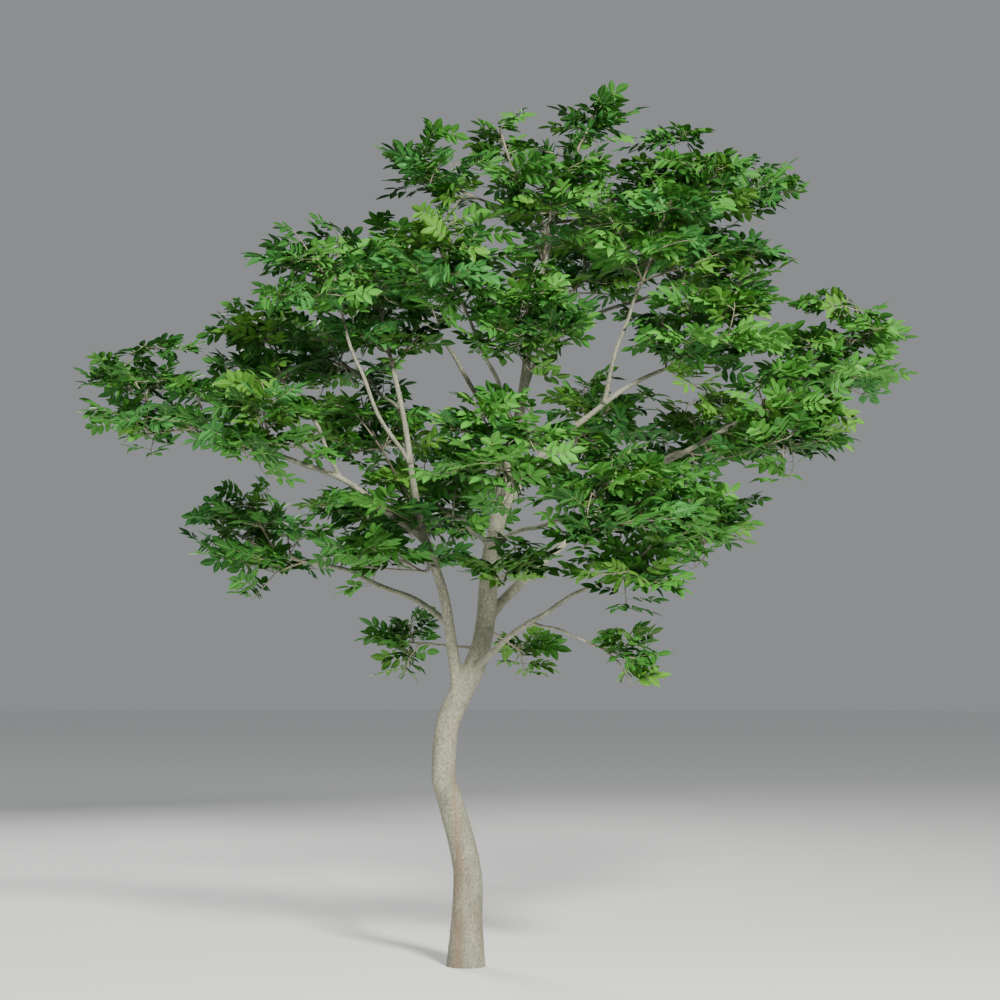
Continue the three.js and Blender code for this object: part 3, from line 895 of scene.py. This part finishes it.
# A compound leaf: leaflets in pairs along a rachis that arches, and one at its end
def leaf_kind(pairs, rng):
    rachis_length = PETIOLE_LENGTH + PAIR_SPACING * (pairs - 1) + END_SPACING
    arch = rng.uniform(*RACHIS_ARCHES)

    def rachis(y):
        return Vector((0, y, arch * y * (1 - y / rachis_length) - RACHIS_SAG * arch * y))

    places = []
    for pair in range(pairs):
        for side in (-1, 1):
            y = PETIOLE_LENGTH + pair * PAIR_SPACING + rng.uniform(-PAIR_SCATTER, PAIR_SCATTER)
            places.append((y, side * rng.uniform(*PAIR_ANGLES), PAIR_SIZES[pair]))
    places.append((rachis_length, rng.uniform(-END_ANGLE, END_ANGLE), END_SIZE))
    bm = bmesh.new()
    for y, angle, size in places:
        scale = size * rng.uniform(*LEAFLET_SIZES)
        fold = rng.uniform(*LEAFLET_FOLDS)
        droop = rng.uniform(*LEAFLET_DROOPS)
        pitch = rng.uniform(*LEAFLET_PITCHES)
        roll = rng.uniform(-LEAFLET_ROLL, LEAFLET_ROLL)
        tilt = Matrix.Rotation(pitch, 4, "X") @ Matrix.Rotation(roll, 4, "Y")
        mesh = leaflet_mesh(LEAFLET_LENGTH * scale, LEAFLET_WIDTH * scale, fold, droop)
        mesh.transform(Matrix.Translation(rachis(y)) @ Matrix.Rotation(-angle, 4, "Z") @ tilt)
        bm.from_mesh(mesh)
    return {
        "arrays": mesh_arrays(finished_mesh(bm, "compound_leaf")),
        "length": rachis_length + LEAFLET_LENGTH,
        "line": np.array([rachis(y) for y in np.linspace(0, rachis_length, len(STALK_RADII))]),
    }


def mesh_arrays(mesh):
    sharp = mesh.attributes["sharp_edge"].data
    return {
        "places": read(mesh.vertices, "co", 3).reshape(-1, 3),
        "edges": read(mesh.edges, "vertices", 2, np.int32),
        "sharp": read(sharp, "value", 1, bool),
        "corners": read(mesh.loops, "vertex_index", 1, np.int32),
        "corner_edges": read(mesh.loops, "edge_index", 1, np.int32),
        "starts": read(mesh.polygons, "loop_start", 1, np.int32),
        "uvs": read(mesh.uv_layers["OFBake"].data, "uv", 2),
    }


# Adds items to one of a mesh's lists, with their values from arrays
def fill(items, count, **arrays):
    items.add(count)
    for key, values in arrays.items():
        items.foreach_set(key, values)


# Copies of the leaf kinds, joined into one mesh by stacking their arrays
def joined_leaves(name, placed):
    parts = {key: [] for key in leaf_kinds[0]["arrays"]}
    verts = edges = corners = 0
    for root, turn, kind, _ in placed:
        arrays = leaf_kinds[kind]["arrays"]
        parts["places"].append(arrays["places"] @ turn.T + root)
        parts["edges"].append(arrays["edges"] + verts)
        parts["corners"].append(arrays["corners"] + verts)
        parts["corner_edges"].append(arrays["corner_edges"] + edges)
        parts["starts"].append(arrays["starts"] + corners)
        parts["sharp"].append(arrays["sharp"])
        parts["uvs"].append(arrays["uvs"])
        verts += len(arrays["places"])
        edges += len(arrays["sharp"])
        corners += len(arrays["corners"])
    stacked = {key: np.concatenate(values) for key, values in parts.items()}
    mesh = bpy.data.meshes.new(name)
    fill(mesh.vertices, verts, co=stacked["places"].astype(np.float32).ravel())
    fill(mesh.edges, edges, vertices=stacked["edges"])
    fill(mesh.loops, corners, vertex_index=stacked["corners"], edge_index=stacked["corner_edges"])
    fill(mesh.polygons, len(stacked["starts"]), loop_start=stacked["starts"])
    mesh.attributes.new("sharp_edge", "BOOLEAN", "EDGE").data.foreach_set("value", stacked["sharp"])
    mesh.uv_layers.new(name="OFBake").data.foreach_set("uv", stacked["uvs"])
    mesh.update()
    mesh.validate()
    return mesh


# Thin tubes along lines of points, joined into one mesh from arrays
def joined_tubes(name, lines, sides):
    places, quads, caps = [], [], []
    start = 0
    angles = np.arange(sides) * 2 * math.pi / sides
    circle = np.stack((np.cos(angles), np.sin(angles)), axis=1)
    around = np.arange(sides)
    for points, radii in lines:
        ways = np.gradient(points, axis=0)
        ways /= norm(ways, axis=1)[:, None]
        reference = UP if abs(ways[0][2]) < STEEP else RIGHT
        side = np.cross(reference, ways)
        side /= norm(side, axis=1)[:, None]
        over = np.cross(ways, side)
        spokes = circle[:, 0, None] * side[:, None] + circle[:, 1, None] * over[:, None]
        rings = points[:, None] + radii[:, None, None] * spokes
        places.append(rings.reshape(-1, 3))
        for ring in range(len(points) - 1):
            low = start + ring * sides
            following = low + (around + 1) % sides
            quads.append(np.stack((low + around, following, following + sides, low + around + sides), axis=1))
        last = start + (len(points) - 1) * sides
        caps.append(start + around[::-1])
        caps.append(last + around)
        start += len(points) * sides
    quads = np.concatenate(quads)
    corners = np.concatenate((quads.ravel(), np.concatenate(caps)))
    starts = np.concatenate((np.arange(len(quads)) * 4, len(quads) * 4 + np.arange(len(caps)) * sides))
    mesh = bpy.data.meshes.new(name)
    fill(mesh.vertices, start, co=np.concatenate(places).astype(np.float32).ravel())
    fill(mesh.loops, len(corners), vertex_index=corners.astype(np.int32))
    fill(mesh.polygons, len(starts), loop_start=starts.astype(np.int32))
    mesh.update(calc_edges=True)
    mesh.validate()
    mesh.shade_smooth()
    return mesh


def line_of(path, count):
    shares = np.linspace(0, 1, count)
    return np.array([path.at(t) for t in shares]), np.array([path.radius(t) for t in shares])


# Materials. Each input, by its name or number, takes a fixed value or what another node puts out.
def feed(tree, node, values):
    for name, value in values.items():
        if isinstance(value, bpy.types.NodeSocket):
            tree.links.new(value, node.inputs[name])
        else:
            node.inputs[name].default_value = value


# A new node's result
def new_node(tree, kind, values, result, **settings):
    node = tree.nodes.new("ShaderNode" + kind)
    for key, value in settings.items():
        setattr(node, key, value)
    feed(tree, node, values)
    return node.outputs[result]


def math_node(tree, operation, *values):
    return new_node(tree, "Math", dict(enumerate(values)), 0, operation=operation)


def add(tree, first, second):
    return math_node(tree, "ADD", first, second)


def subtract(tree, first, second):
    return math_node(tree, "SUBTRACT", first, second)


def multiply(tree, first, second):
    return math_node(tree, "MULTIPLY", first, second)


def weighted_sum(tree, values, shares):
    total = multiply(tree, values[0], shares[0])
    for value, share in zip(values[1:], shares[1:]):
        total = add(tree, total, multiply(tree, value, share))
    return total


# Inputs 0, 6 and 7 of a colour mix are its share and its two colours.
def mix_node(tree, share, first, second):
    return new_node(tree, "Mix", {0: share, 6: first, 7: second}, 2, data_type="RGBA")


def noise_node(tree, place, per_metre, flatter, detail, roughness):
    scaled = new_node(tree, "Mapping", {"Vector": place, "Scale": (1, 1, flatter)}, "Vector")
    values = {"Vector": scaled, "Scale": per_metre, "Detail": detail, "Roughness": roughness}
    return new_node(tree, "TexNoise", values, "Fac")


# From 0 where the value is at its first edge to 1 at its second
def ramp_node(tree, value, begins, full):
    values = {"Value": value, "From Min": begins, "From Max": full}
    return new_node(tree, "MapRange", values, "Result", interpolation_type="SMOOTHSTEP")


def bump_node(tree, height, strength, distance):
    values = {"Height": height, "Strength": strength, "Distance": distance}
    return new_node(tree, "Bump", values, "Normal")


def split_node(tree, vector):
    node = tree.nodes.new("ShaderNodeSeparateXYZ")
    feed(tree, node, {0: vector})
    return node.outputs


def object_place(tree):
    return new_node(tree, "TexCoord", {}, "Object")


# A group in its colours, and what it puts out
def group_node(tree, group, colours):
    node = tree.nodes.new("ShaderNodeGroup")
    node.node_tree = group
    feed(tree, node, {name: (*colour, 1) for name, colour in colours.items()})
    return node.outputs


def new_group(name, inputs, outputs):
    group = bpy.data.node_groups.new(name, "ShaderNodeTree")
    for in_out, sockets in (("INPUT", inputs), ("OUTPUT", outputs)):
        for socket_name, kind in sockets.items():
            group.interface.new_socket(socket_name, in_out=in_out, socket_type="NodeSocket" + kind)
    return group, group.nodes.new("NodeGroupInput").outputs, group.nodes.new("NodeGroupOutput")


# Where the lower trunk is ruddy: a wavering streak up its front and weaker ones all round, which the mottling
# breaks up
def ruddy_streaks(tree, place, mottle):
    right, back, height = split_node(tree, place)
    streaks = noise_node(tree, place, *STREAKS)
    scattered = multiply(tree, ramp_node(tree, streaks, *SCATTER_EDGES), SCATTERED_RUDDY)
    wavering = multiply(tree, subtract(tree, streaks, 0.5), STREAK_WAVER)
    aside = add(tree, add(tree, right, STREAK_LEFT), wavering)
    band = ramp_node(tree, math_node(tree, "ABSOLUTE", aside), *STREAK_EDGES)
    front = multiply(tree, band, ramp_node(tree, back, *FRONT_EDGES))
    strongest = math_node(tree, "MAXIMUM", scattered, front)
    streak = multiply(tree, strongest, ramp_node(tree, height, *RUDDY_HEIGHTS))
    return multiply(tree, streak, ramp_node(tree, mottle, *BROKEN_EDGES))


# Pale smooth bark: fine mottling, broad clouds, small raised flecks along the limb, fine wrinkles across it,
# and ruddy streaks on the lower trunk
def bark_group():
    colours = {"Pale": "Color", "Dark": "Color", "Ruddy": "Color", "Fleck": "Color"}
    results = {"Color": "Color", "Height": "Float", "Roughness": "Float"}
    tree, given, out = new_group("bark_pattern", colours, results)
    place = object_place(tree)
    forms = (MOTTLING, CLOUDS, WRINKLES, SPECKS)
    mottle, clouds, wrinkles, specks = [noise_node(tree, place, *form) for form in forms]
    fleck = multiply(tree, ramp_node(tree, specks, *FLECK_EDGES), ramp_node(tree, clouds, *FLECKED_CLOUDS))
    ruddy = ruddy_streaks(tree, place, mottle)
    shade = weighted_sum(tree, (mottle, clouds, wrinkles), SHADE_SHARES)
    pale = ramp_node(tree, shade, *PALE_EDGES)
    colour = mix_node(tree, pale, given["Dark"], given["Pale"])
    colour = mix_node(tree, multiply(tree, ruddy, RUDDY_STRENGTH), colour, given["Ruddy"])
    colour = mix_node(tree, multiply(tree, fleck, FLECK_STRENGTH), colour, given["Fleck"])
    raised = weighted_sum(tree, (mottle, fleck, wrinkles), RELIEF_SHARES)
    rough = add(tree, multiply(tree, mottle, ROUGH_MOTTLING), SMOOTHEST_BARK)
    feed(tree, out, {"Color": colour, "Height": raised, "Roughness": rough})
    return tree


def new_material(name):
    material = bpy.data.materials.new(name)
    material.use_nodes = True
    tree = material.node_tree
    return material, tree, tree.nodes["Principled BSDF"]


def bark_material(name, colours, depth):
    material, tree, shader = new_material(name)
    bark = group_node(tree, bark_pattern, colours)
    raised = bump_node(tree, bark["Height"], BARK_BUMP, depth)
    feed(tree, shader, {"Base Color": bark["Color"], "Roughness": bark["Roughness"], "Normal": raised})
    return material


# A leaflet's face, read from its own map: a pale midrib, and side veins that slant towards the tip
def leaflet_group():
    greens = {"Blade": "Color", "Vein": "Color"}
    tree, given, out = new_group("leaflet_pattern", greens, {"Color": "Color", "Height": "Float"})
    sideways, along, _ = split_node(tree, new_node(tree, "UVMap", {}, "UV", uv_map="OFBake"))
    across = math_node(tree, "ABSOLUTE", subtract(tree, sideways, 0.5))
    midrib = ramp_node(tree, across, *MIDRIB_EDGES)
    slanted = subtract(tree, along, multiply(tree, across, VEIN_SLANT))
    wave = math_node(tree, "SINE", multiply(tree, slanted, VEIN_WAVES))
    veins = multiply(tree, ramp_node(tree, wave, *VEIN_EDGES), ramp_node(tree, across, *VEIN_ENDS))
    pattern = math_node(tree, "MAXIMUM", midrib, multiply(tree, veins, SIDE_VEINS))
    shown = multiply(tree, pattern, VEINS_SHOWN)
    colour = mix_node(tree, shown, given["Blade"], given["Vein"])
    feed(tree, out, {"Color": colour, "Height": subtract(tree, 1.0, pattern)})
    return tree


def leaf_material(name, blade):
    material, tree, shader = new_material(name)
    vein = [lerp(value, pale, VEIN_PALENESS) for value, pale in zip(blade, PALE_GREEN)]
    face = group_node(tree, leaflet_pattern, {"Blade": blade, "Vein": vein})
    raised = bump_node(tree, face["Height"], LEAF_BUMP, LEAF_BUMP_DEPTH)
    feed(tree, shader, {"Base Color": face["Color"], "Normal": raised})
    feed(tree, shader, {"Roughness": LEAF_ROUGHNESS, "Specular IOR Level": LEAF_GLOSS})
    return material


def stalk_material():
    material, tree, shader = new_material("green_stalks")
    shade = ramp_node(tree, noise_node(tree, object_place(tree), *STALK_CLOUDS), *STALK_SHADES)
    feed(tree, shader, {"Base Color": mix_node(tree, shade, *STALK_GREENS), "Roughness": STALK_ROUGHNESS})
    return material


bark_pattern = bark_group()
leaflet_pattern = leaflet_group()
trunk_bark = bark_material("pale_bark", TRUNK_BARK, TRUNK_BUMP_DEPTH)
twig_bark = bark_material("twig_bark", TWIG_BARK, TWIG_BUMP_DEPTH)


def add_piece(name, mesh, material, replaced):
    mesh.materials.clear()
    mesh.materials.append(material)
    obj = placed_object(name, mesh)
    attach(obj, "root")
    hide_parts(*replaced)


# Wood pieces
all_nodes = sorted(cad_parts)
wood_nodes = [name for name in all_nodes if not name.endswith("_foliage")]
foliage_nodes = [name for name in all_nodes if name.endswith("_foliage")]
thick_nodes = ["trunk"] + [name + "_bough" for name in parents if thick_shares[name] > 0]

bark_mesh = thick_wood()
smooth_forks(bark_mesh)
displace(bark_mesh)
cut_at_ground(bark_mesh)
add_piece("trunk_and_limbs", bark_mesh, trunk_bark, thick_nodes)

fine_mesh = fine_wood()
displace(fine_mesh)
add_piece("fine_boughs", fine_mesh, trunk_bark, wood_nodes)

# Foliage pieces
kinds_rng = np.random.default_rng(KINDS_SEED)
leaf_kinds = [leaf_kind(pairs, kinds_rng) for pairs in KIND_PAIRS]
twig_lines = []
leaves = []

for mass in masses:
    rng = np.random.default_rng(SEED_STEP * (mass["index"] + 1))
    twigs = grow_twigs(mass)
    twiglets = grow_twiglets(mass, twigs, rng)
    twig_lines.append(line_of(mass["stem"], STEM_POINTS))
    twig_lines += [line_of(twig, TWIG_POINTS) for twig in twigs]
    twig_lines += [line_of(twiglet, TWIGLET_POINTS) for twiglet in twiglets]
    for twig in [mass["stem"]] + twigs + twiglets:
        leaves += grow_leaves(mass, twig, rng)

stalks = [(leaf_kinds[kind]["line"] @ turn.T + root, STALK_RADII) for root, turn, kind, _ in leaves]
add_piece("twigs", joined_tubes("twigs", twig_lines, TWIG_SIDES), twig_bark, foliage_nodes)
stalk_mesh = joined_tubes("leaf_stalks", stalks, STALK_SIDES)
add_piece("leaf_stalks", stalk_mesh, stalk_material(), foliage_nodes)

for tone, (name, blade, _) in enumerate(LEAF_TONES):
    mesh = joined_leaves("leaves_" + name, [leaf for leaf in leaves if leaf[3] == tone])
    add_piece("leaves_" + name, mesh, leaf_material("leaf_" + name, blade), foliage_nodes)


# Stage: a pale floor, soft light and the photograph's camera
def stage_floor():
    bm = bmesh.new()
    bmesh.ops.create_circle(bm, cap_ends=True, segments=FLOOR_SIDES, radius=FLOOR_RADIUS)
    floor = placed_object("floor", finished_mesh(bm, "floor"))
    material, tree, shader = new_material("pale_floor")
    feed(tree, shader, {"Base Color": FLOOR_COLOUR, "Roughness": FLOOR_ROUGHNESS})
    floor.data.materials.append(material)


def area_light(name, place, size, power, colour):
    light = bpy.data.lights.new(name, "AREA")
    light.size = size
    light.energy = power
    light.color = colour
    lamp = placed_object(name, light)
    lamp.location = place
    lamp.rotation_euler = (Vector(CROWN_MIDDLE) - Vector(place)).to_track_quat("-Z", "Y").to_euler()
    lamp.visible_camera = False


def soft_light():
    world = bpy.data.worlds.new("studio")
    world.use_nodes = True
    tree = world.node_tree
    feed(tree, tree.nodes["Background"], {"Color": SKY_COLOUR, "Strength": SKY_STRENGTH})
    bpy.context.scene.world = world
    for light in LIGHTS:
        area_light(*light)


def photo_camera():
    camera = bpy.data.cameras.new("camera")
    camera.lens = LENS
    camera.sensor_width = SENSOR
    camera.clip_end = VIEW_END
    holder = placed_object("camera", camera)
    holder.location = CAMERA_PLACE
    holder.rotation_euler = (CAMERA_TILT, 0, 0)
    bpy.context.scene.camera = holder


stage_floor()
soft_light()
photo_camera()
